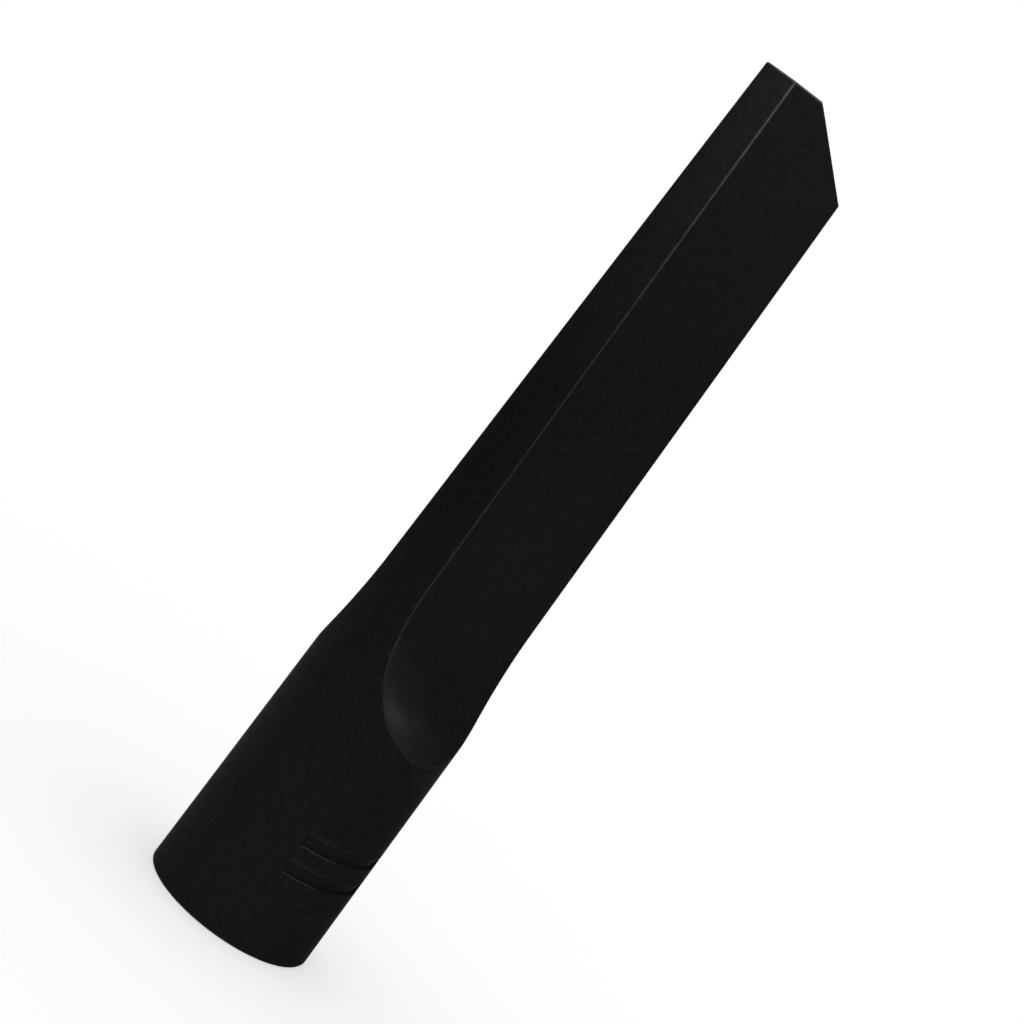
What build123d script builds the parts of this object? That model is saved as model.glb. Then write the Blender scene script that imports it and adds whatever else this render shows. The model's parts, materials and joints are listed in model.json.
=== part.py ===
from build123d import *
from math import cos, radians, sin, tan
import os

# Crevice nozzle for a vacuum cleaner, moulded in one piece.
# Z runs along the nozzle, from the socket's mouth at z = 0 to the tip.
# Y is across the flat beak, through its broad faces. X is across its width.
# All lengths are in millimetres and all angles in degrees.

# Overall form: one slender cone, hollow, with one wall thickness
LENGTH = 206.7
BODY_TAPER = 0.80
WALL = 2.0

# Socket for the wand, and the body's outside around its mouth
SEAT_DIAMETER = 35.2
SEAT_DEPTH = 34.0
LEAD_IN = 0.6
MOUTH_DIAMETER = SEAT_DIAMETER + 2 * WALL

# Broad faces of the beak, one on each side, closing towards the tip
TIP_THICKNESS = 9.56
FACE_SLOPE = 1.17

# Scooped end of each broad face: round in plan, with a large radius to the floor, and flaring sides
SCOOP_CENTRE = 79.6
SCOOP_RADIUS = 28.5
SCOOP_FLOOR_RADIUS = 16.1
SCOOP_ARC = 57.4

# Tip: square over part of its width, then bevelled back
SQUARE_END_X = 6.0
BEVEL_ANGLE = 32.9

# Grip grooves on both sides of the socket: deepest at the lower edge, running out at the upper edge
GROOVE_COUNT = 2
GROOVE_HEIGHT = 19.2
GROOVE_PITCH = 6.8
GROOVE_WIDTH = 2.8
GROOVE_DEPTH = 0.8
GROOVE_SPAN = 22.3

# Rounded edges: outside of the mouth, outside of the beak, inside of the tip's slot, lips of the grooves
RIM_EDGE = 0.5
BEAK_EDGE = 0.5
SLOT_EDGE = 0.3
LIP_EDGE = 0.3

# How far a cutting shape reaches past the surface that it cuts
CLEAR = 10.0


def cone_radius(z):
    """Outside radius of the body at height z."""
    return MOUTH_DIAMETER / 2 - z * tan(radians(BODY_TAPER))


def turned(points):
    """Solid of revolution about Z of an outline given as (radius, height) points."""
    return revolve(Plane.XZ * make_face(Polyline(*points, close=True)), Axis.Z)


def scoop(side, inset):
    """Space in front of one broad face and its scooped end, grown by inset into the body.

    side is 1 for the face towards +Y and -1 for the face towards -Y.
    """
    slope = radians(FACE_SLOPE)
    outward = Vector(0, side * cos(slope), sin(slope))
    floor_y = TIP_THICKNESS / 2 + (LENGTH - SCOOP_CENTRE) * tan(slope)
    floor = Plane(
        origin=Vector(0, side * floor_y, SCOOP_CENTRE) - outward * inset,
        x_dir=(side, 0, 0),
        z_dir=outward,
    )
    radius = SCOOP_RADIUS + inset
    arc = radians(SCOOP_ARC)
    arc_end = Vector(radius * sin(arc), radius * cos(arc))
    far_y = -(LENGTH - SCOOP_CENTRE + CLEAR)
    far_x = arc_end.X + (arc_end.Y - far_y) / tan(arc)
    outline = [
        RadiusArc((-arc_end.X, arc_end.Y), (arc_end.X, arc_end.Y), radius),
        Line((arc_end.X, arc_end.Y), (far_x, far_y)),
        Line((far_x, far_y), (-far_x, far_y)),
        Line((-far_x, far_y), (-arc_end.X, arc_end.Y)),
    ]
    block = extrude(make_face(outline), MOUTH_DIAMETER)
    bottom = block.edges().group_by(Axis.Z)[0]
    walls = bottom.sort_by(Axis.Y)[1:]
    return floor * fillet(walls, SCOOP_FLOOR_RADIUS + inset)


def bevel():
    """Wedge beyond the tip's bevel, cut straight through the beak's thickness."""
    run = MOUTH_DIAMETER
    corner = (SQUARE_END_X, LENGTH)
    low = (SQUARE_END_X - run, LENGTH - run * tan(radians(BEVEL_ANGLE)))
    high = (SQUARE_END_X - run, LENGTH + CLEAR)
    top = (SQUARE_END_X, LENGTH + CLEAR)
    wedge = make_face(Polyline(corner, top, high, low, close=True))
    return extrude(Plane.XZ * wedge, MOUTH_DIAMETER / 2, both=True)


def grip_groove(low):
    """Saw-tooth groove around the socket, with its step at height low, kept to a band on both sides."""
    high = low + GROOVE_WIDTH
    ring = turned([
        (cone_radius(low) - GROOVE_DEPTH, low),
        (cone_radius(low) + CLEAR, low),
        (cone_radius(low) + CLEAR, high),
        (cone_radius(high), high),
    ])
    return ring & Pos(0, 0, low) * Box(GROOVE_SPAN, 2 * MOUTH_DIAMETER, 4 * GROOVE_WIDTH)


def is_lip(edge, steps):
    """Tell whether an edge is the outer rim of a groove's step."""
    height = edge.center().Z
    on_step = any(abs(height - step) < LIP_EDGE / 10 for step in steps)
    round_edge = edge.geom_type == GeomType.CIRCLE
    return on_step and round_edge and edge.radius > cone_radius(height) - LIP_EDGE


def outer_form():
    """Outside of the nozzle as a full solid, with its rounded edges and grip grooves."""
    form = turned([
        (0, 0),
        (cone_radius(0), 0),
        (cone_radius(LENGTH), LENGTH),
        (0, LENGTH),
    ])
    form -= scoop(1, 0)
    form -= scoop(-1, 0)
    form -= bevel()
    mouth = form.edges().group_by(Axis.Z)[0]
    form = fillet(mouth, RIM_EDGE)
    above_mouth = form.edges().filter_by(lambda edge: edge.center().Z > SEAT_DEPTH)
    form = fillet(above_mouth, BEAK_EDGE)
    steps = [GROOVE_HEIGHT + index * GROOVE_PITCH for index in range(GROOVE_COUNT)]
    for step in steps:
        form -= grip_groove(step)
    lips = form.edges().filter_by(lambda edge: is_lip(edge, steps))
    return fillet(lips, LIP_EDGE)


def inner_duct():
    """Air space: the wand's seat, then the body's cone and faces set in by the wall."""
    top = LENGTH + CLEAR
    duct = turned([
        (0, SEAT_DEPTH),
        (cone_radius(SEAT_DEPTH) - WALL, SEAT_DEPTH),
        (cone_radius(top) - WALL, top),
        (0, top),
    ])
    duct -= scoop(1, WALL)
    duct -= scoop(-1, WALL)
    seat = turned([
        (0, 0),
        (SEAT_DIAMETER / 2 + LEAD_IN, 0),
        (SEAT_DIAMETER / 2, LEAD_IN),
        (SEAT_DIAMETER / 2, SEAT_DEPTH),
        (0, SEAT_DEPTH),
    ])
    return duct + seat


def is_slot_rim(edge):
    """Tell whether an edge is where the duct opens at the tip, on the square end or on the bevel."""
    centre = edge.center()
    bevel_low = LENGTH - (SQUARE_END_X + MOUTH_DIAMETER / 2) * tan(radians(BEVEL_ANGLE))
    return centre.Z > bevel_low and abs(centre.Y) < TIP_THICKNESS / 2 - WALL + SLOT_EDGE


nozzle_body = outer_form() - inner_duct()
nozzle_body = fillet(nozzle_body.edges().filter_by(is_slot_rim), SLOT_EDGE)

os.makedirs("parts", exist_ok=True)
export_step(nozzle_body, "parts/nozzle_body.step")
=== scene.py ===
"""Looks of a moulded crevice nozzle: satin black plastic, pale studio floor, soft lamps and camera."""
import json
import logging
import math
from dataclasses import dataclass, field
from enum import Enum, IntEnum
from typing import ClassVar

import bmesh
import bpy
import numpy as np
from mathutils import Matrix, Vector


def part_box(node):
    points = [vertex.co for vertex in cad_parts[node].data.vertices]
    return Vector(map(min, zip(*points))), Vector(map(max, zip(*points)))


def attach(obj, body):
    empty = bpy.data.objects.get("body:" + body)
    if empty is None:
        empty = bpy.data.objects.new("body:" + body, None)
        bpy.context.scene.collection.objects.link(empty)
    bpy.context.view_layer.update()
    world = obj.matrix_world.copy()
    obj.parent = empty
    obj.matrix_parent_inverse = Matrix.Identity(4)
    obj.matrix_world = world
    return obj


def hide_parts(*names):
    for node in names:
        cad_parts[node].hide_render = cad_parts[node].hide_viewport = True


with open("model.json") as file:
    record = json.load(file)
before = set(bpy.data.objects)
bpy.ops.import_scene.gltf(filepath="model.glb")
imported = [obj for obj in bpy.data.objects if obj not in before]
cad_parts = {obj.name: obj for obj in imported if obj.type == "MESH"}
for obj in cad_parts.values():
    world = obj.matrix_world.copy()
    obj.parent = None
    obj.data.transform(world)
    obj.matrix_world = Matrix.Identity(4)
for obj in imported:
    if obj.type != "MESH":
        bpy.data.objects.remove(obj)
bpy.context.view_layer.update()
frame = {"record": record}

MM = 0.001
# Name of the attribute that carries the painted highlight on the edges
EDGE_HIGHLIGHT = "edge_wear"
WHITE = (1.0, 1.0, 1.0, 1.0)
UNIT_SPAN = (0.0, 1.0)
NOISE_SPAN = (0.3, 0.7)

Colour = tuple[float, float, float]
Point = tuple[float, float, float]
Span = tuple[float, float]
Grid = np.ndarray

log = logging.getLogger("crevice_nozzle")


class Socket(str, Enum):
    """Names of the shader inputs that the finishes set."""

    COLOUR = "Base Color"
    ROUGHNESS = "Roughness"
    SPECULAR = "Specular IOR Level"
    IOR = "IOR"
    NORMAL = "Normal"
    GLOW_COLOUR = "Emission Color"
    GLOW = "Emission Strength"


class NodeKind(str, Enum):
    """Shader node types that the finishes are made of."""

    PLACE = "ShaderNodeTexCoord"
    NOISE = "ShaderNodeTexNoise"
    RANGE = "ShaderNodeMapRange"
    MIX = "ShaderNodeMix"
    MATH = "ShaderNodeMath"
    VECTOR = "ShaderNodeVectorMath"
    MARK = "ShaderNodeAttribute"
    RAYS = "ShaderNodeLightPath"
    BUMP = "ShaderNodeBump"


class ShaderName(str, Enum):
    """Names of the shader nodes in a new material and in a new world."""

    SURFACE = "Principled BSDF"
    WORLD = "Background"


class MixSocket(IntEnum):
    """Places of the colour sockets on a mix node, whose other sockets have the same names."""

    SHARE = 0
    FIRST = 6
    SECOND = 7
    RESULT = 2


class NodeSheet:
    """Node tree of a material or of the world, with short calls to add nodes to it."""

    def __init__(self, owner: bpy.types.Material | bpy.types.World, shader: ShaderName) -> None:
        """Start from the nodes that Blender gives a new material or world.

        Args:
            owner: the new material or world.
            shader: the shader node in it.
        """
        owner.use_nodes = True
        self.owner = owner
        self.tree = owner.node_tree
        self.shader = self.tree.nodes[shader.value]

    def add(self, kind: NodeKind, **settings: object) -> bpy.types.Node:
        """Add a node and set its own properties.

        Args:
            kind: type of the node.
            settings: properties of the node, by name.

        Returns:
            The new node.
        """
        node = self.tree.nodes.new(kind.value)
        for name, value in settings.items():
            setattr(node, name, value)
        return node

    def join(self, out: bpy.types.NodeSocket, into: bpy.types.NodeSocket) -> None:
        """Link one node's output to another node's input."""
        self.tree.links.new(out, into)

    def noise(self, size: float, detail: float, keep: float = 0.5) -> bpy.types.NodeSocket:
        """Cloudy noise on the object's own coordinates.

        Args:
            size: size of one cloud in metres.
            detail: number of finer octaves.
            keep: strength of each octave as a share of the one before it.

        Returns:
            The noise value, from 0 to 1.
        """
        place = self.add(NodeKind.PLACE)
        cloud = self.add(NodeKind.NOISE)
        cloud.inputs["Scale"].default_value = 1.0 / size
        cloud.inputs["Detail"].default_value = detail
        cloud.inputs["Roughness"].default_value = keep
        self.join(place.outputs["Object"], cloud.inputs["Vector"])
        return cloud.outputs["Fac"]

    def stretch(
        self, value: bpy.types.NodeSocket, low: float, high: float, span: Span = NOISE_SPAN,
    ) -> bpy.types.NodeSocket:
        """Spread a value over a range.

        Args:
            value: the value, such as noise, which runs from about 0.3 to 0.7.
            low: result at the span's start.
            high: result at the span's end.
            span: values that the range is spread between.

        Returns:
            The spread value.
        """
        spread = self.add(NodeKind.RANGE)
        spread.inputs["From Min"].default_value = span[0]
        spread.inputs["From Max"].default_value = span[1]
        spread.inputs["To Min"].default_value = low
        spread.inputs["To Max"].default_value = high
        self.join(value, spread.inputs["Value"])
        return spread.outputs["Result"]

    def blend(
        self, share: bpy.types.NodeSocket, low: Colour | bpy.types.NodeSocket, high: Colour,
    ) -> bpy.types.NodeSocket:
        """Mix two colours.

        Args:
            share: part of the second colour, from 0 to 1.
            low: first colour, or the output that gives it.
            high: second colour.

        Returns:
            The mixed colour.
        """
        mix = self.add(NodeKind.MIX, data_type="RGBA")
        first, second = mix.inputs[MixSocket.FIRST], mix.inputs[MixSocket.SECOND]
        self.join(share, mix.inputs[MixSocket.SHARE])
        if isinstance(low, bpy.types.NodeSocket):
            self.join(low, first)
        else:
            first.default_value = (*low, 1.0)
        second.default_value = (*high, 1.0)
        return mix.outputs[MixSocket.RESULT]

    def seen_rays(self) -> bpy.types.NodeSocket:
        """Tell the rays that look at a surface from those that light it.

        Returns:
            One for rays from the camera and those that a gloss or a clear piece sends on, else nought.
        """
        rays = self.add(NodeKind.RAYS)
        seen = rays.outputs["Is Camera Ray"]
        for name in ("Is Glossy Ray", "Is Transmission Ray"):
            either = self.add(NodeKind.MATH, operation="MAXIMUM")
            self.join(seen, either.inputs[0])
            self.join(rays.outputs[name], either.inputs[1])
            seen = either.outputs[0]
        return seen


@dataclass(frozen=True)
class MouldedPlastic:
    """Satin black plastic with a spark-eroded mould's fine grain, its edges lightened by a painted
    highlight.
    """

    name: str = "moulded_black_plastic"
    dark: Colour = (0.0075, 0.0075, 0.0076)
    light: Colour = (0.0083, 0.0083, 0.0084)
    # Colour of the painted highlight laid on the edges
    highlight_colour: Colour = (0.0450, 0.0450, 0.0450)
    mottle_size: float = 14.0 * MM
    mottle_octaves: float = 3.0
    speckle_size: float = 1.2 * MM
    speckle_octaves: float = 3.0
    speckle_keep: float = 0.90
    speckle: float = 0.29
    roughness_low: float = 0.42
    roughness_high: float = 0.48
    gloss_patch_size: float = 4.0 * MM
    gloss_octaves: float = 4.0
    specular: float = 0.0010
    refraction: float = 1.49
    grain_depth: float = 0.010 * MM
    grain_strength: float = 1.0

    def material(self) -> bpy.types.Material:
        """Build the material.

        Returns:
            The finished material.
        """
        sheet = NodeSheet(bpy.data.materials.new(self.name), ShaderName.SURFACE)
        shader = sheet.shader
        shader.inputs[Socket.SPECULAR.value].default_value = self.specular
        shader.inputs[Socket.IOR.value].default_value = self.refraction
        speckle = sheet.noise(self.speckle_size, self.speckle_octaves, self.speckle_keep)
        self._colour(sheet, speckle)
        patches = sheet.noise(self.gloss_patch_size, self.gloss_octaves)
        gloss = sheet.stretch(patches, self.roughness_low, self.roughness_high)
        sheet.join(gloss, shader.inputs[Socket.ROUGHNESS.value])
        self._grain(sheet, speckle)
        return sheet.owner

    def _colour(self, sheet: NodeSheet, speckle: bpy.types.NodeSocket) -> None:
        """Mottle the black a little, as pigment does in a moulding, speckle it and lighten its edges with a
        painted highlight.

        Args:
            sheet: the material's node tree.
            speckle: fine noise that the grain follows too.
        """
        mottle = sheet.noise(self.mottle_size, self.mottle_octaves)
        pigment = sheet.blend(mottle, self.dark, self.light)
        # The edge attribute mixes in the painted highlight colour
        highlights = sheet.add(NodeKind.MARK, attribute_name=EDGE_HIGHLIGHT)
        highlighted = sheet.blend(highlights.outputs["Fac"], pigment, self.highlight_colour)
        shade = sheet.stretch(speckle, 1.0 - self.speckle, 1.0 + self.speckle)
        speckled = sheet.add(NodeKind.VECTOR, operation="SCALE")
        sheet.join(highlighted, speckled.inputs["Vector"])
        sheet.join(shade, speckled.inputs["Scale"])
        sheet.join(speckled.outputs["Vector"], sheet.shader.inputs[Socket.COLOUR.value])

    def _grain(self, sheet: NodeSheet, speckle: bpy.types.NodeSocket) -> None:
        """Raise the mould's fine grain as bump.

        Args:
            sheet: the material's node tree.
            speckle: fine noise that the grain follows.
        """
        bump = sheet.add(NodeKind.BUMP)
        bump.inputs["Strength"].default_value = self.grain_strength
        bump.inputs["Distance"].default_value = self.grain_depth
        sheet.join(speckle, bump.inputs["Height"])
        sheet.join(bump.outputs["Normal"], sheet.shader.inputs[Socket.NORMAL.value])


@dataclass(frozen=True)
class PaleFloorPaint:
    """Plain white studio floor with a very faint unevenness, lifted to white where it is looked at."""

    name: str = "pale_floor"
    dark: Colour = (0.80, 0.80, 0.80)
    light: Colour = (0.82, 0.82, 0.82)
    patch_size: float = 0.4
    patch_octaves: float = 2.0
    roughness: float = 0.9
    specular: float = 0.0
    lift: float = 0.42

    def material(self) -> bpy.types.Material:
        """Build the material.

        Returns:
            The finished material.
        """
        sheet = NodeSheet(bpy.data.materials.new(self.name), ShaderName.SURFACE)
        sheet.shader.inputs[Socket.ROUGHNESS.value].default_value = self.roughness
        sheet.shader.inputs[Socket.SPECULAR.value].default_value = self.specular
        sheet.shader.inputs[Socket.GLOW_COLOUR.value].default_value = WHITE
        patches = sheet.noise(self.patch_size, self.patch_octaves)
        paint = sheet.blend(patches, self.dark, self.light)
        sheet.join(paint, sheet.shader.inputs[Socket.COLOUR.value])
        glow = sheet.stretch(sheet.seen_rays(), 0.0, self.lift, UNIT_SPAN)
        sheet.join(glow, sheet.shader.inputs[Socket.GLOW.value])
        return sheet.owner


@dataclass(frozen=True)
class NozzleForm:
    """Sizes of the moulding, in millimetres and degrees, and formulas of its cone, end, painted edge
    highlight and columns.

    The nozzle stands on its socket: z runs along it, x across the flat beak and y through its broad faces.
    """

    # Columns of points: within a groove, beside it, and across half of the narrow face's middle strip
    GROOVE_COLUMNS: ClassVar[int] = 21
    SIDE_COLUMNS: ClassVar[int] = 17
    STRIP_COLUMNS: ClassVar[int] = 5

    # Cone, wall and the wand's seat
    length: float
    seat_radius: float
    seat_length: float
    lead_in: float = 0.6
    wall: float = 2.0
    taper: float = 0.80

    # Broad faces, their scooped ends and the tip
    tip_thickness: float = 9.56
    face_slope: float = 1.17
    scoop_centre: float = 79.6
    scoop_floor: float = 12.4
    scoop_round: float = 16.1
    scoop_arc: float = 57.4
    square_end_x: float = 6.0
    bevel_angle: float = 32.9
    crease: float = 0.2

    # Grip grooves: the crest reaches out by a number of its widths, and a groove's end wall spans an angle
    groove_steps: tuple[float, ...] = (19.2, 26.0)
    groove_width: float = 2.8
    groove_depth: float = 0.8
    groove_span: float = 22.3
    groove_wall_angle: float = 0.3
    groove_crest: float = 0.12
    crest_width: float = 0.40
    crest_lead: float = 0.25
    crest_reach: float = 3.0

    # Radii of the rounded edges
    rim_edge: float = 0.5
    corner_edge: float = 0.5
    duct_edge: float = 0.3
    end_edge: float = 0.45
    slot_edge: float = 0.3
    lip_edge: float = 0.3

    # Heights and an angle where the grids of points meet or change
    tube_top: float = 42.0
    side_angle: float = 82.0
    blade_from: float = 100.0
    bend_from: float = 172.0

    # Painted highlight on the edges: its shares along the corner and elsewhere, and the spans that it fades
    # over
    highlight_heights: tuple[float, ...] = (54.0, 70.0, 150.0, 206.0)
    highlight_shares: tuple[float, ...] = (0.00, 0.33, 0.40, 0.90)
    end_highlight: float = 6.0
    lip_highlight: float = 0.44
    crest_highlight: float = 0.12
    floor_highlight: float = 0.035
    # The rim's share paints the floor's reflection on its rounding
    rim_reflection: float = 0.60
    highlight_behind: float = 0.25
    highlight_far_side: float = 0.05
    highlight_span_x: Span = (1.0, 8.0)
    highlight_span_y: Span = (-5.0, 5.0)

    @property
    def seat_depth(self) -> float:
        """Height of the shoulder that the wand stops at."""
        return self.seat_length + self.lead_in

    @property
    def slope(self) -> float:
        """Slope of a broad face against the axis, in radians."""
        return math.radians(self.face_slope)

    def cone_radius(self, z: Grid, inset: float) -> Grid:
        """Radius of the cone at height z, set in by inset: the mouth's radius less z times the taper."""
        return self.seat_radius + self.wall - inset - z * math.tan(math.radians(self.taper))

    def end_height(self, x: Grid) -> Grid:
        """Height of the tip's end: level on the square side, then falling past a soft crease.

        The drop is the bevel's slope times the mean of the distance past the crease and its rounded size,
        the root of the distance squared plus the crease's width squared.

        Args:
            x: place across the beak.

        Returns:
            The height.
        """
        back = self.square_end_x - x
        drop = (back + np.hypot(back, self.crease)) / 2
        return self.length - drop * math.tan(math.radians(self.bevel_angle))

    def end_slope(self, x: Grid) -> Grid:
        """Rise of the tip's end for each millimetre of x, the derivative of its height."""
        back = self.square_end_x - x
        return (1 + back / np.hypot(back, self.crease)) / 2 * math.tan(math.radians(self.bevel_angle))

    def bend(self, x: Grid, z: Grid) -> Grid:
        """Squeeze the heights above bend_from so that the topmost row follows the tip's end.

        Args:
            x: place across the beak.
            z: height on a beak with a square end.

        Returns:
            The height on the bevelled beak.
        """
        share = (self.end_height(x) - self.bend_from) / (self.length - self.bend_from)
        return np.where(z > self.bend_from, self.bend_from + (z - self.bend_from) * share, z)

    def rub(self, z: Grid) -> Grid:
        """Painted highlight of an outer edge at height z, in straight runs: little by the scoop, most at
        the tip.
        """
        return np.interp(z, self.highlight_heights, self.highlight_shares)

    def highlight_side(self, points: Grid) -> Grid:
        """How much painted highlight each place gets: fully on the front towards +X, hardly towards -X, a
        little behind.

        Args:
            points: places on the nozzle.

        Returns:
            The factor of painted highlight, which runs in straight lines across x and y.
        """
        front = np.interp(points[:, 1], self.highlight_span_y, UNIT_SPAN)
        turned = np.interp(points[:, 0], self.highlight_span_x, (self.highlight_far_side, 1.0))
        return front * turned + (1.0 - front) * self.highlight_behind

    def tube_angles(self) -> tuple[Grid, Grid, int]:
        """Columns of the tube over a quarter turn from +Y.

        Returns:
            The angles up to the narrow face's middle strip, those across half of that strip, and how many
            columns lie within a grip groove.
        """
        groove = math.asin(self.groove_span / 2 / self.cone_radius(self.groove_steps[0], 0.0))
        side = math.radians(self.side_angle)
        inside = np.linspace(0.0, groove, self.GROOVE_COLUMNS)
        outside = np.linspace(groove + math.radians(self.groove_wall_angle), side, self.SIDE_COLUMNS)
        strip = np.linspace(side, math.pi / 2, self.STRIP_COLUMNS)
        return np.concatenate([inside, outside]), strip, inside.size


@dataclass(frozen=True)
class Rounding:
    """Rolling-ball rounding of an edge: its centres, and the two directions that its arc turns between."""

    centre: Grid
    first: Grid
    last: Grid
    radius: float

    @classmethod
    def along(cls, edge: Grid, first: Grid, last: Grid, radius: float) -> "Rounding":
        """Set the ball against both faces.

        It lies inside the edge by the radius times the normals' sum, over one plus their dot product.

        Args:
            edge: points of the sharp edge.
            first: outward normals of the face that the arc starts on.
            last: outward normals of the face that it ends on.
            radius: radius of the ball.

        Returns:
            The rounding.
        """
        share = 1 + np.sum(first * last, axis=-1, keepdims=True)
        return cls(edge - radius * (first + last) / share, first, last, radius)

    def normals(self, steps: int) -> Grid:
        """Directions from the first normal to the last, evenly turned.

        The two normals are weighed by the sines of the turn still to go and of the turn made, over the sine
        of the whole turn.

        Args:
            steps: number of steps across the arc.

        Returns:
            Unit vectors, one row for each edge point and one column for each place on the arc.
        """
        turn = np.arccos(np.clip(np.sum(self.first * self.last, axis=-1), -1.0, 1.0))[:, None, None]
        part = np.linspace(0.0, 1.0, steps + 1)[None, :, None] * turn
        mixed = self.first[:, None] * np.sin(turn - part) + self.last[:, None] * np.sin(part)
        return mixed / np.sin(turn)

    def points(self, steps: int) -> Grid:
        """Points of the arc: the centre plus the radius times each direction."""
        return self.centre[:, None] + self.radius * self.normals(steps)


def half_sine(steps: int) -> Grid:
    """Half a sine wave over a number of steps, nought at both ends and one in the middle."""
    return np.sin(np.linspace(0.0, math.pi, steps + 1))


def grid_quads(rows: int, columns: int) -> Grid:
    """Corner numbers of the squares of a grid whose points are counted row by row.

    Args:
        rows: number of rows of points.
        columns: number of points in a row.

    Returns:
        One row of four corners for each square.
    """
    first = (np.arange(rows - 1)[:, None] * columns + np.arange(columns - 1)).ravel()
    return np.stack([first, first + 1, first + columns + 1, first + columns], axis=1)


class WallSkin:
    """One side of the wall over one quarter of the nozzle, from the tube up to the tip.

    Rays run over a broad face from its spine to its edge: first a fan about the scoop's centre, from the
    scoop's foot round to the side, then level rays up the blade. The edge's rounding, the narrow face's
    margin and the face itself are grids with one row for each ray.
    """

    # Numbers of steps: the fan's rays, the level rays, and places across each grid
    FAN = 60
    LOW_RAYS = 10
    HIGH_RAYS = 30
    ACROSS_FACE = 24
    ACROSS_EDGE = 6
    ACROSS_MARGIN = 10

    # How steps crowd: level rays towards the tip, and places on the face and on the margin towards the edge
    RAY_CROWDING = 0.55
    FACE_BOW = 1.15
    MARGIN_POWER = 1.5

    # Search for the edge: a place short of it, in millimetres, and numbers of repeats
    RAY_START = 4.0
    HALVINGS = 60
    BEND_ROUNDS = 4

    # Share of the scoop's radius where its wall stands almost upright, and two amounts close to nought
    STEEPEST = 0.9999
    TINY = 1e-12
    NEAR = 1e-6

    def __init__(self, form: NozzleForm, inset: float, edge: float, side: int) -> None:
        """Work out the skin's grids.

        Args:
            form: sizes of the moulding.
            inset: depth of this skin below the outside.
            edge: radius of the edge between the broad and the narrow face.
            side: 1 for the half towards +X and -1 for the other half.
        """
        self.form = form
        self.inset = inset
        self.edge = edge
        self.side = side
        self.slope = form.slope
        floor_y = form.tip_thickness / 2 + (form.length - form.scoop_centre) * math.tan(self.slope)
        self.origin_y = floor_y - inset * math.cos(self.slope)
        self.origin_z = form.scoop_centre - inset * math.sin(self.slope)
        self.heights = self._blade_heights()
        self.fan = np.linspace(0.0, math.pi / 2, self.FAN + 1)
        self._round_edge()
        self._lay_face()
        self._lay_narrow_face()

    def _blade_heights(self) -> Grid:
        """Heights of the level rays, closer together towards the tip on a parabola.

        Returns:
            The heights, on a beak with a square end.
        """
        start = self.form.blade_from
        low = np.linspace(self.origin_z, start, self.LOW_RAYS + 1)[1:]
        part = np.linspace(0.0, 1.0, self.HIGH_RAYS + 1)[1:]
        share = (1 + self.RAY_CROWDING) * part - self.RAY_CROWDING * part ** 2
        return np.concatenate([low, start + (self.form.length - start) * share])

    def _rise(self, x: Grid, v: Grid) -> tuple[Grid, Grid, Grid]:
        """Height of the scoop over the flat face, and its slopes.

        The distance from the scoop's centre is measured radially inside its arc and square to its flaring
        side beyond. Past the flat floor the height is that of a circle: the radius, less the root of the
        radius squared less the distance squared.

        Args:
            x: place across the face.
            v: place along the face, from the scoop's centre towards the socket.

        Returns:
            The height, its slope along x and its slope along v.
        """
        arc = math.radians(self.form.scoop_arc)
        reach = np.hypot(x, v) + self.TINY
        in_arc = np.arctan2(x, v) <= arc
        along_x = np.where(in_arc, x / reach, math.sin(arc))
        along_v = np.where(in_arc, v / reach, math.cos(arc))
        radius = self.form.scoop_round + self.inset
        past = np.clip(x * along_x + v * along_v - self.form.scoop_floor, 0.0, radius * self.STEEPEST)
        drop = np.sqrt(radius ** 2 - past ** 2)
        return radius - drop, past / drop * along_x, past / drop * along_v

    def _face_points(self, x: Grid, v: Grid) -> Grid:
        """Points of the broad face: its inclined plane, raised square to it by the scoop's height.

        Args:
            x: place across the face.
            v: place along the face, as for the scoop's height.

        Returns:
            The points.
        """
        rise = self._rise(x, v)[0]
        y = self.origin_y + v * math.sin(self.slope) + rise * math.cos(self.slope)
        z = self.origin_z - v * math.cos(self.slope) + rise * math.sin(self.slope)
        return np.stack(np.broadcast_arrays(x, y, z), axis=-1)

    def _face_normals(self, x: Grid, v: Grid) -> Grid:
        """Outward unit normals of the broad face, square to its two slopes.

        Args:
            x: place across the face.
            v: place along the face, as for the scoop's height.

        Returns:
            The normals.
        """
        _, slope_x, slope_v = self._rise(x, v)
        y = math.cos(self.slope) - slope_v * math.sin(self.slope)
        z = math.sin(self.slope) + slope_v * math.cos(self.slope)
        normal = np.stack([-slope_x, y, z], axis=-1)
        return normal / np.linalg.norm(normal, axis=-1, keepdims=True)

    def _cone_points(self, angle: Grid, height: Grid) -> Grid:
        """Points of the cone at an angle from +Y, with heights bent to the tip's end.

        Args:
            angle: angle from +Y in radians.
            height: height on a beak with a square end.

        Returns:
            The points.
        """
        z = height
        for _ in range(self.BEND_ROUNDS):
            z = self.form.bend(self.side * self.form.cone_radius(z, self.inset) * np.sin(angle), height)
        radius = self.form.cone_radius(z, self.inset)
        return np.stack(np.broadcast_arrays(radius * np.sin(angle), radius * np.cos(angle), z), axis=-1)

    def _cone_normals(self, points: Grid) -> Grid:
        """Outward unit normals of the cone: radial, tipped up by the taper.

        Args:
            points: places on the cone.

        Returns:
            The normals.
        """
        taper = math.radians(self.form.taper)
        out = points[..., :2] / np.linalg.norm(points[..., :2], axis=-1, keepdims=True)
        up = np.full(out.shape[:-1] + (1,), math.sin(taper))
        return np.concatenate([out * math.cos(taper), up], axis=-1)

    def _along_face(self, x: Grid, v: Grid) -> Grid:
        """Places along the face: as given on the fan, and from the bent heights on the level rays."""
        level = self.form.bend(self.side * x[self.FAN + 1:], self.heights[:, None])
        return np.concatenate([v[:self.FAN + 1], (self.origin_z - level) / math.cos(self.slope)])

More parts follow.
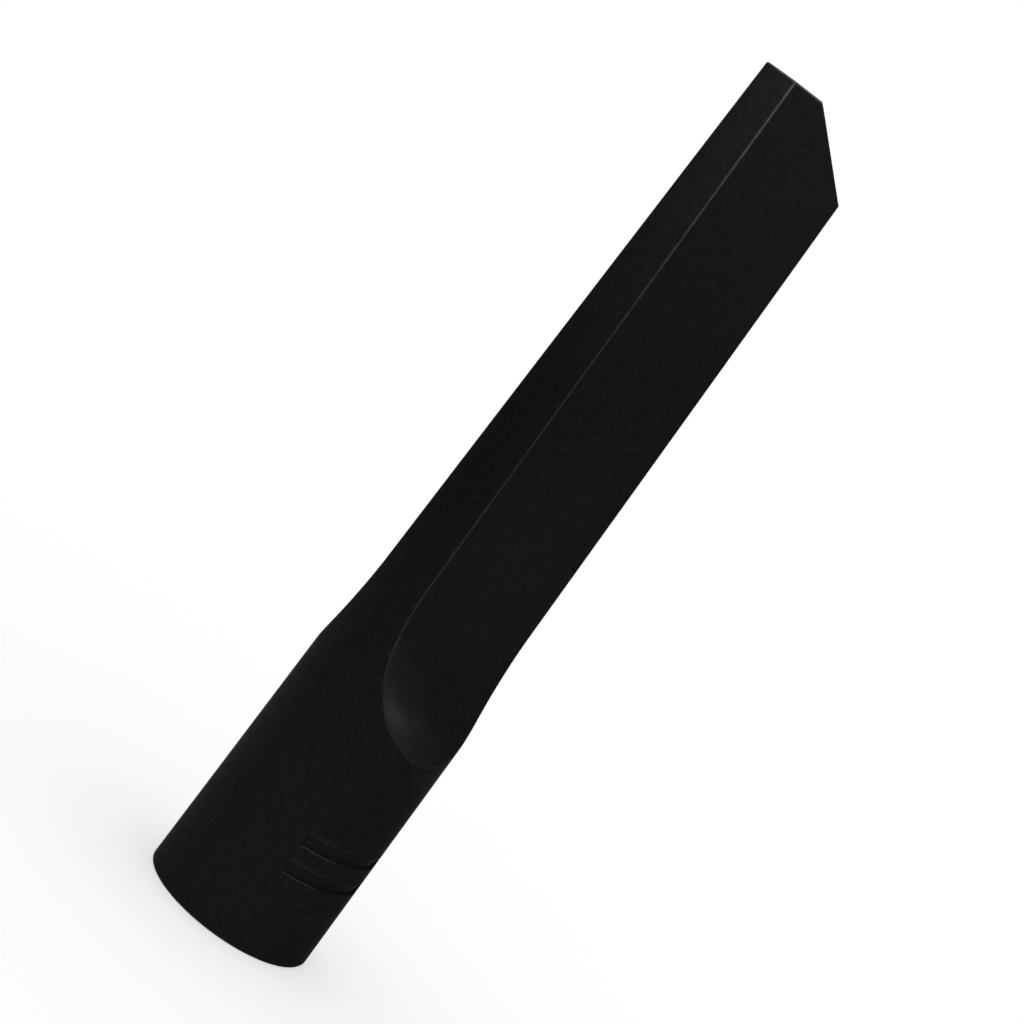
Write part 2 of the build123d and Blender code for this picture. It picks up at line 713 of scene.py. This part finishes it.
    def _edge_plan(self) -> tuple[Grid, Grid]:
        """Find where each ray meets the cone, by halving its length again and again.

        Returns:
            The places across and along the face.
        """
        rays = self.FAN + 1 + self.heights.size
        sine = np.ones((rays, 1))
        sine[:self.FAN + 1, 0] = np.sin(self.fan)
        cosine = np.zeros((rays, 1))
        cosine[:self.FAN + 1, 0] = np.cos(self.fan)
        low = np.full((rays, 1), self.RAY_START)
        high = np.full((rays, 1), self.form.scoop_floor + self.form.scoop_round + self.inset)
        for _ in range(self.HALVINGS):
            middle = (low + high) / 2
            x = middle * sine
            v = self._along_face(x, middle * cosine)
            place = self._face_points(x, v)
            reach = np.hypot(place[..., 0], place[..., 1])
            within = reach < self.form.cone_radius(place[..., 2], self.inset)
            low = np.where(within, middle, low)
            high = np.where(within, high, middle)
        return x[:, 0], v[:, 0]

    def _round_edge(self) -> None:
        """Lay the strip that rounds the edge, and note where it meets the cone and the face."""
        x, v = self._edge_plan()
        sharp = self._face_points(x, v)
        ball = Rounding.along(sharp, self._cone_normals(sharp), self._face_normals(x, v), self.edge)
        strip = ball.points(self.ACROSS_EDGE)
        self.edge_normals = ball.normals(self.ACROSS_EDGE)
        self.cone_angle = np.arctan2(strip[:, 0, 0], strip[:, 0, 1])
        self.cone_height = strip[:, 0, 2].copy()
        self.cone_height[self.FAN + 1:] = self.heights
        on_cone = self._cone_points(self.cone_angle, self.cone_height)
        self.face_x = strip[:, -1, 0:1]
        across, up = strip[:, -1, 1] - self.origin_y, strip[:, -1, 2] - self.origin_z
        self.face_v = (across * math.sin(self.slope) - up * math.cos(self.slope))[:, None]
        on_face = self._face_points(self.face_x, self._along_face(self.face_x, self.face_v))[:, 0]
        part = np.linspace(0.0, 1.0, self.ACROSS_EDGE + 1)[None, :, None]
        to_cone, to_face = (on_cone - strip[:, 0])[:, None], (on_face - strip[:, -1])[:, None]
        strip = strip + (1 - part) * to_cone + part * to_face
        level = strip[self.FAN + 1:, 1:-1]
        level[..., 2] = self.form.bend(self.side * level[..., 0], self.heights[:, None])
        self.strip = strip

    def _flat_half_width(self) -> float:
        """Half the broad face's flat width at the square tip: half the chord less the edge's rounding.

        Returns:
            The half width.
        """
        radius = self.form.cone_radius(self.form.length, self.inset)
        angle = math.acos((self.form.tip_thickness / 2 - self.inset) / radius)
        return radius * math.sin(angle) - self.edge * math.tan(angle / 2)

    def _lay_face(self) -> None:
        """Lay the broad face along its rays, in steps that shorten to the edge, with one on the crease."""
        even = np.linspace(0.0, 1.0, self.ACROSS_FACE + 1)
        share = np.sin(self.FACE_BOW * even) / math.sin(self.FACE_BOW)
        crease = self.form.square_end_x / self._flat_half_width()
        share[np.argmin(np.abs(share - crease))] = crease
        x = self.face_x * share
        v = self._along_face(x, self.face_v * share)
        self.face = self._face_points(x, v)
        self.face_normals = self._face_normals(x, v)

    def _lay_narrow_face(self) -> None:
        """Lay the cone beside the edge, as a margin up to a rectangle's sides, and the strip beyond it."""
        angles, middle, _ = self.form.tube_angles()
        foot = angles.size - 1
        rays = self.cone_angle.size
        blade = self.FAN + int(np.searchsorted(self.heights, self.form.blade_from - self.NEAR)) + 1
        far_angle = np.full(rays, angles[-1])
        far_angle[:foot] = angles[:-1]
        far_height = np.full(rays, self.form.tube_top)
        far_height[foot:blade + 1] = np.linspace(self.form.tube_top, self.form.blade_from, blade + 1 - foot)
        far_height[blade:] = self.heights[blade - self.FAN - 1:]
        share = np.linspace(0.0, 1.0, self.ACROSS_MARGIN + 1) ** self.MARGIN_POWER
        angle = self.cone_angle[:, None] + (far_angle - self.cone_angle)[:, None] * share
        height = self.cone_height[:, None] + (far_height - self.cone_height)[:, None] * share
        self.margin = self._cone_points(angle, height)
        self.middle = self._cone_points(middle[None, :], far_height[foot:, None])

    def end_row(self) -> tuple[Grid, Grid]:
        """Points and outward normals along the tip's sharp end, from the spine to the narrow face's middle.

        Returns:
            The points and the normals.
        """
        cone = np.concatenate([self.margin[-1, 1:], self.middle[-1, 1:]])
        points = np.concatenate([self.face[-1], self.strip[-1, ::-1][1:], cone])
        edge = self.edge_normals[-1, ::-1][1:]
        normals = np.concatenate([self.face_normals[-1], edge, self._cone_normals(cone)])
        return points, normals

    def end_at(self, row: Grid) -> None:
        """Move the skin's topmost row to where the end's rounding starts.

        Args:
            row: the new points, in the order of end_row.
        """
        face, strip = self.ACROSS_FACE, self.ACROSS_FACE + self.ACROSS_EDGE
        margin = strip + self.ACROSS_MARGIN
        self.face[-1] = row[:face + 1]
        self.strip[-1] = row[face:strip + 1][::-1]
        self.margin[-1] = row[strip:margin + 1]
        self.middle[-1] = row[margin:]

    def strip_highlight(self) -> Grid:
        """Painted highlight across the edge's rounding: a half sine, with none at its two borders."""
        return self.form.rub(self.strip[..., 2]) * half_sine(self.ACROSS_EDGE)

    def end_row_highlight(self) -> Grid:
        """Painted highlight along end_row: that of the edge's rounding where the row crosses it, else none.

        Returns:
            The painted highlight, one value for each point of end_row.
        """
        strip = self.strip_highlight()[-1, ::-1]
        before = np.zeros(self.ACROSS_FACE)
        after = np.zeros(self.margin.shape[1] + self.middle.shape[1] - 2)
        return np.concatenate([before, strip, after])

    def grids(self) -> list[Grid]:
        """The skin's grids: broad face, edge, and the two parts of the narrow face."""
        return [self.face, self.strip, self.margin, self.middle]


@dataclass
class NozzleBody:
    """The nozzle: one moulding, laid as a closed shell of four quarters that repeats the frame's solid."""

    # Numbers of steps across the arcs, and of rows in the other stretches
    ACROSS_END: ClassVar[int] = 6
    ACROSS_LIP: ClassVar[int] = 5
    ACROSS_RIM: ClassVar[int] = 6
    RAMP_ROWS: ClassVar[int] = 19
    PLAIN_ROWS: ClassVar[int] = 8
    TOP_ROWS: ClassVar[int] = 7
    DUCT_ROWS: ClassVar[int] = 4

    form: NozzleForm
    node: str = "nozzle_body"
    slot: str = "body"
    name: str = "nozzle_shell"
    finish: MouldedPlastic = field(default_factory=MouldedPlastic)
    sharp_angle: float = 34.0
    weld_mm: float = 0.0001

    def _groove_rows(self, step: float) -> Grid:
        """Profile of one grip groove, from its lip to the end of its crest.

        The lip is a quarter circle, the step drops to the groove's depth, and the floor rises in a straight
        ramp. A low crest follows, a bell curve. The painted highlight is a half sine over the lip, a
        parabola over the ramp and the same bell curve over the crest.

        Args:
            step: height of the groove's step.

        Returns:
            Rows of height inside the groove, depth, height beside the groove, and painted highlight.
        """
        form = self.form
        turn = np.linspace(0.0, math.pi / 2, self.ACROSS_LIP + 1)
        lip = form.lip_edge * np.stack([np.sin(turn) - 1, 1 - np.cos(turn)], axis=1)
        top = form.groove_width + form.crest_lead
        run = np.linspace(0.0, top + form.crest_reach * form.crest_width, self.RAMP_ROWS)
        left = np.clip(1 - run / form.groove_width, 0.0, 1.0)
        bell = np.exp(-((run - top) / form.crest_width) ** 2)
        floor = np.stack([run, form.groove_depth * left - form.groove_crest * bell], axis=1)
        inside = np.concatenate([lip, floor]) + (step, 0.0)
        beside = np.linspace(inside[0, 0], inside[-1, 0], len(inside))
        # Painted highlight over the lip, the ramp and the crest
        lip_highlight = form.lip_highlight * half_sine(self.ACROSS_LIP)
        floor_highlight = form.floor_highlight * 4 * left * (1 - left) + form.crest_highlight * bell
        return np.column_stack([inside, beside, np.concatenate([lip_highlight, floor_highlight])])

    @staticmethod
    def _plain_rows(height: Grid) -> Grid:
        """Rows like a groove's for a stretch of plain cone: the same height, with no depth and no painted
        highlight.
        """
        none = np.zeros_like(height)
        return np.column_stack([height, none, height, none])

    def _tube(self) -> tuple[Grid, Grid]:
        """Outside of the tube over a quarter turn: the cone, with grip grooves sunk between two flat ends.

        Returns:
            The grid of points, from the mouth's rounding up, and its painted highlight.
        """
        form = self.form
        side, middle, inner = form.tube_angles()
        angle = np.concatenate([side, middle[1:]])
        rows = []
        last = form.rim_edge
        for step in form.groove_steps:
            groove = self._groove_rows(step)
            rows += [self._plain_rows(np.linspace(last, groove[0, 0], self.PLAIN_ROWS)[:-1]), groove]
            last = groove[-1, 0]
        rows.append(self._plain_rows(np.linspace(last, form.tube_top, self.TOP_ROWS)[1:]))
        height, depth, beside, rub = np.concatenate(rows).T[:, :, None]
        within = np.arange(angle.size) < inner
        z = np.where(within, height, beside)
        sunk = np.where(within, depth, 0.0)
        radius = form.cone_radius(z, 0.0) - sunk
        half = form.groove_span / 2
        spread = np.arcsin(half / radius) / np.arcsin(half / (radius + sunk))
        turn = np.where(within, angle * spread, angle)
        points = np.stack([radius * np.sin(turn), radius * np.cos(turn), z], axis=-1)
        return points, np.where(within, rub, 0.0)

    def _turned(self, profile: Grid) -> Grid:
        """Carry a profile over a quarter turn, on the tube's own columns.

        Args:
            profile: rows of radius and height.

        Returns:
            The grid of points.
        """
        side, middle, _ = self.form.tube_angles()
        angle = np.concatenate([side, middle[1:]])
        radius, z = profile.T[:, :, None]
        return np.stack(np.broadcast_arrays(radius * np.sin(angle), radius * np.cos(angle), z), axis=-1)

    def _socket(self) -> tuple[Grid, Grid]:
        """Quarter turn of the socket: rounded rim, flat mouth, lead-in, seat, shoulder and duct's start.

        Returns:
            The grid of points, and its painted reflection, which is on the rounded rim alone.
        """
        form = self.form
        turn = np.linspace(0.0, math.pi / 2, self.ACROSS_RIM + 1)
        flat = form.cone_radius(form.rim_edge, 0.0) - form.rim_edge
        rim = np.stack([flat + form.rim_edge * np.cos(turn), form.rim_edge * (1 - np.sin(turn))], axis=1)
        duct_z = np.linspace(form.seat_depth, form.tube_top, self.DUCT_ROWS)
        duct = np.stack([form.cone_radius(duct_z, form.wall), duct_z], axis=1)
        seat = np.array([
            (form.seat_radius + form.lead_in, 0.0),
            (form.seat_radius, form.lead_in),
            (form.seat_radius, form.seat_depth),
        ])
        points = self._turned(np.concatenate([rim, seat, duct]))
        rub = np.zeros(points.shape[:2])
        # Painted reflection of the floor along the rounded rim
        rub[:len(rim)] = form.rim_reflection * half_sine(self.ACROSS_RIM)[:, None]
        return points, rub

    def _end(self, outside: WallSkin, inside: WallSkin) -> tuple[Grid, Grid]:
        """Tip's end over a quarter: rounded outer edge, flat land and rounded rim of the slot.

        Args:
            outside: outer skin, whose topmost row moves to the rounding.
            inside: inner skin, likewise.

        Returns:
            The grid of points, one row for each place along the end, and its painted highlight.
        """
        outer, outward = outside.end_row()
        inner, inward = inside.end_row()
        arcs = []
        edges = ((outer, outward, self.form.end_edge), (inner, -inward, self.form.slot_edge))
        for points, normals, radius in edges:
            slope = outside.side * self.form.end_slope(outside.side * points[:, 0])
            top = np.stack([-slope, np.zeros_like(slope), np.ones_like(slope)], axis=-1)
            top /= np.linalg.norm(top, axis=-1, keepdims=True)
            arcs.append(Rounding.along(points, normals, top, radius).points(self.ACROSS_END))
        # Painted highlight on the tip's outer rounding and its land
        fade = np.linspace(1.0, 0.0, self.ACROSS_END + 1)
        corner = outside.end_row_highlight()[:, None] * fade
        rub = np.maximum(corner, np.clip(self.form.end_highlight * (1.0 - fade), 0.0, 1.0))
        outside.end_at(arcs[0][:, 0])
        inside.end_at(arcs[1][:, 0])
        land = np.broadcast_to(fade, rub.shape)
        return np.concatenate([arcs[0], arcs[1][:, ::-1]], axis=1), np.concatenate([rub, land], axis=1)

    def _half(self, side: int) -> list[tuple[Grid, Grid]]:
        """Grids of the quarter towards +Y on one side, each with its painted highlight.

        Args:
            side: 1 for the half towards +X and -1 for the other half.

        Returns:
            The grids and their painted highlight.
        """
        outside = WallSkin(self.form, 0.0, self.form.corner_edge, side)
        inside = WallSkin(self.form, self.form.wall, self.form.duct_edge, side)
        end = self._end(outside, inside)
        plain = [outside.face, outside.margin, outside.middle, *inside.grids()]
        unhighlighted = [(grid, np.zeros(grid.shape[:2])) for grid in plain]
        return [end, (outside.strip, outside.strip_highlight()), self._tube(), self._socket(), *unhighlighted]

    def mesh(self) -> bpy.types.Mesh:
        """Join the quarters into one closed mesh, in metres.

        Returns:
            The finished mesh, with the painted highlight of its edges as an attribute.
        """
        points, faces, highlights = [], [], []
        count = 0
        for side in (1, -1):
            for grid, rub in self._half(side):
                quads = grid_quads(*grid.shape[:2])
                for across in (1, -1):
                    points.append(grid.reshape(-1, 3) * (side, across, 1))
                    faces.append(quads[:, ::side * across] + count)
                    # Painted highlight, weighted towards the lit front side
                    highlights.append(rub.ravel() * self.form.highlight_side(points[-1]))
                    count += rub.size
        mesh = bpy.data.meshes.new(self.name)
        mesh.from_pydata(np.concatenate(points) * MM, [], np.concatenate(faces))
        # Store the painted highlight as a point attribute
        mark = mesh.attributes.new(EDGE_HIGHLIGHT, "FLOAT", "POINT")
        mark.data.foreach_set("value", np.concatenate(highlights))
        shell = bmesh.new()
        shell.from_mesh(mesh)
        bmesh.ops.remove_doubles(shell, verts=shell.verts, dist=self.weld_mm * MM)
        bmesh.ops.recalc_face_normals(shell, faces=shell.faces)
        shell.to_mesh(mesh)
        shell.free()
        mesh.shade_smooth()
        mesh.set_sharp_from_angle(angle=math.radians(self.sharp_angle))
        return mesh

    def build(self) -> bpy.types.Object:
        """Lay the shell in place of the frame's solid and give it its finish.

        Returns:
            The shell's object.
        """
        mesh = self.mesh()
        mesh.materials.append(self.finish.material())
        shell = bpy.data.objects.new(self.name, mesh)
        bpy.context.scene.collection.objects.link(shell)
        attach(shell, "root")
        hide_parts(self.node)
        return shell


@dataclass
class StudioFloor:
    """Flat floor under the nozzle, level with the socket's mouth."""

    name: str = "studio_floor"
    half_width: float = 4.0
    cells: int = 8
    paint: PaleFloorPaint = field(default_factory=PaleFloorPaint)

    def build(self) -> bpy.types.Object:
        """Make the floor as an even grid of squares in the plane of the mouth.

        Returns:
            The floor's object.
        """
        line = np.linspace(-self.half_width, self.half_width, self.cells + 1)
        x, y = np.meshgrid(line, line)
        points = np.stack([x.ravel(), y.ravel(), np.zeros(x.size)], axis=1)
        mesh = bpy.data.meshes.new(self.name)
        mesh.from_pydata(points, [], grid_quads(*x.shape))
        mesh.materials.append(self.paint.material())
        floor = bpy.data.objects.new(self.name, mesh)
        bpy.context.scene.collection.objects.link(floor)
        return floor


class LampKind(str, Enum):
    """Kinds of lamp in the set."""

    PANEL = "AREA"
    SNOOT = "SPOT"


@dataclass(frozen=True)
class SoftLamp:
    """A lamp that faces a point of the nozzle: a square panel, or a snoot with a round fading patch."""

    name: str
    kind: LampKind
    azimuth: float
    elevation: float
    distance: float
    size: float
    power: float
    aim_mm: Point
    cone: float = 0.0
    fade: float = 1.0

    def build(self, lit: bpy.types.Collection) -> bpy.types.Object:
        """Hang the lamp and turn it to its aim point.

        Args:
            lit: what the lamp lights.

        Returns:
            The lamp's object.
        """
        turn = math.radians(self.azimuth)
        lift = math.radians(self.elevation)
        away = Vector((math.sin(turn) * math.cos(lift), math.cos(turn) * math.cos(lift), math.sin(lift)))
        data = bpy.data.lights.new(self.name, self.kind.value)
        data.energy = self.power
        if self.kind is LampKind.PANEL:
            data.shape = "SQUARE"
            data.size = self.size
        else:
            data.shadow_soft_size = self.size
            data.spot_size = math.radians(self.cone)
            data.spot_blend = self.fade
        lamp = bpy.data.objects.new(self.name, data)
        lamp.location = Vector(self.aim_mm) * MM + away * self.distance
        lamp.rotation_euler = away.to_track_quat("Z", "Y").to_euler()
        lamp.light_linking.receiver_collection = lit
        bpy.context.scene.collection.objects.link(lamp)
        return lamp


@dataclass(frozen=True)
class WhiteSurround:
    """Even world around the set: white where it is looked at, and a weak fill light on what is in it."""

    name: str = "white_surround"
    seen: float = 1.0
    fill: float = 0.72

    def build(self) -> None:
        """Set the world's colour and its two strengths."""
        sheet = NodeSheet(bpy.data.worlds.new(self.name), ShaderName.WORLD)
        sheet.shader.inputs["Color"].default_value = WHITE
        strength = sheet.stretch(sheet.seen_rays(), self.fill, self.seen, UNIT_SPAN)
        sheet.join(strength, sheet.shader.inputs["Strength"])
        bpy.context.scene.world = sheet.owner


@dataclass(frozen=True)
class PhotoCamera:
    """Camera at the photograph's viewpoint, rolled so that the nozzle runs from corner to corner."""

    name: str = "photo_camera"
    place_mm: Point = (417.98, 377.13, 194.80)
    aim_mm: Point = (1.21, -1.30, 103.44)
    roll: float = 36.57
    lens: float = 98.07
    sensor: float = 36.0

    def build(self) -> bpy.types.Object:
        """Place and aim the camera and make it the scene's own.

        Returns:
            The camera's object.
        """
        place = Vector(self.place_mm) * MM
        look = (Vector(self.aim_mm) * MM - place).normalized()
        level_right = look.cross(Vector((0.0, 0.0, 1.0))).normalized()
        level_up = level_right.cross(look)
        turn = math.radians(self.roll)
        right = level_right * math.cos(turn) + level_up * math.sin(turn)
        up = level_up * math.cos(turn) - level_right * math.sin(turn)
        axes = Matrix((right, up, -look)).transposed()
        data = bpy.data.cameras.new(self.name)
        data.lens = self.lens
        data.sensor_width = self.sensor
        camera = bpy.data.objects.new(self.name, data)
        camera.matrix_world = Matrix.Translation(place) @ axes.to_4x4()
        bpy.context.scene.collection.objects.link(camera)
        bpy.context.scene.camera = camera
        return camera


LAMPS = (
    SoftLamp(
        "face_panel", LampKind.PANEL, azimuth=20.0, elevation=20.0, distance=1.1, size=0.5, power=2.4,
        aim_mm=(0.0, 0.0, 120.0),
    ),
    SoftLamp(
        "face_snoot", LampKind.SNOOT, azimuth=5.0, elevation=15.0, distance=0.8, size=0.02, power=6.5,
        aim_mm=(0.0, 8.0, 97.0), cone=4.4,
    ),
    SoftLamp(
        "rim_snoot", LampKind.SNOOT, azimuth=177.0, elevation=10.0, distance=0.8, size=0.04, power=32.0,
        aim_mm=(0.0, 0.0, 33.0), cone=10.0,
    ),
    SoftLamp(
        "foot_snoot", LampKind.SNOOT, azimuth=72.0, elevation=30.0, distance=0.8, size=0.05, power=13.0,
        aim_mm=(0.0, 0.0, 0.0), cone=9.0,
    ),
    SoftLamp(
        "tip_snoot", LampKind.SNOOT, azimuth=65.0, elevation=22.0, distance=0.7, size=0.04, power=29.0,
        aim_mm=(0.0, 0.0, 262.0), cone=19.4,
    ),
    SoftLamp(
        "scoop_snoot", LampKind.SNOOT, azimuth=-88.0, elevation=22.0, distance=0.6, size=0.008, power=17.0,
        aim_mm=(12.0, 13.0, 56.0), cone=4.8,
    ),
)


def nozzle_form() -> NozzleForm:
    """Take the length and the wand's seat from the frame.

    Returns:
        The sizes of the moulding.
    """
    seat = next(mount for mount in frame["record"]["mounts"] if mount["name"] == "wand_socket")
    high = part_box("nozzle_body")[1]
    return NozzleForm(high[2] / MM, seat["dims"]["r_mm"], seat["dims"]["length_mm"])


def main() -> None:
    """Build and dress the set in order and report each piece."""
    logging.basicConfig(level=logging.INFO, format="%(name)s: %(message)s")
    bpy.context.scene.view_settings.view_transform = "Standard"
    shell = NozzleBody(nozzle_form()).build()
    log.info("laid %s with %d faces", shell.name, len(shell.data.polygons))
    floor = StudioFloor().build()
    log.info("laid %s", floor.name)
    WhiteSurround().build()
    lit = bpy.data.collections.new("lit_by_lamps")
    lit.objects.link(shell)
    for lamp in LAMPS:
        log.info("hung %s", lamp.build(lit).name)
    log.info("placed %s", PhotoCamera().build().name)


if __name__ == "__main__":
    main()
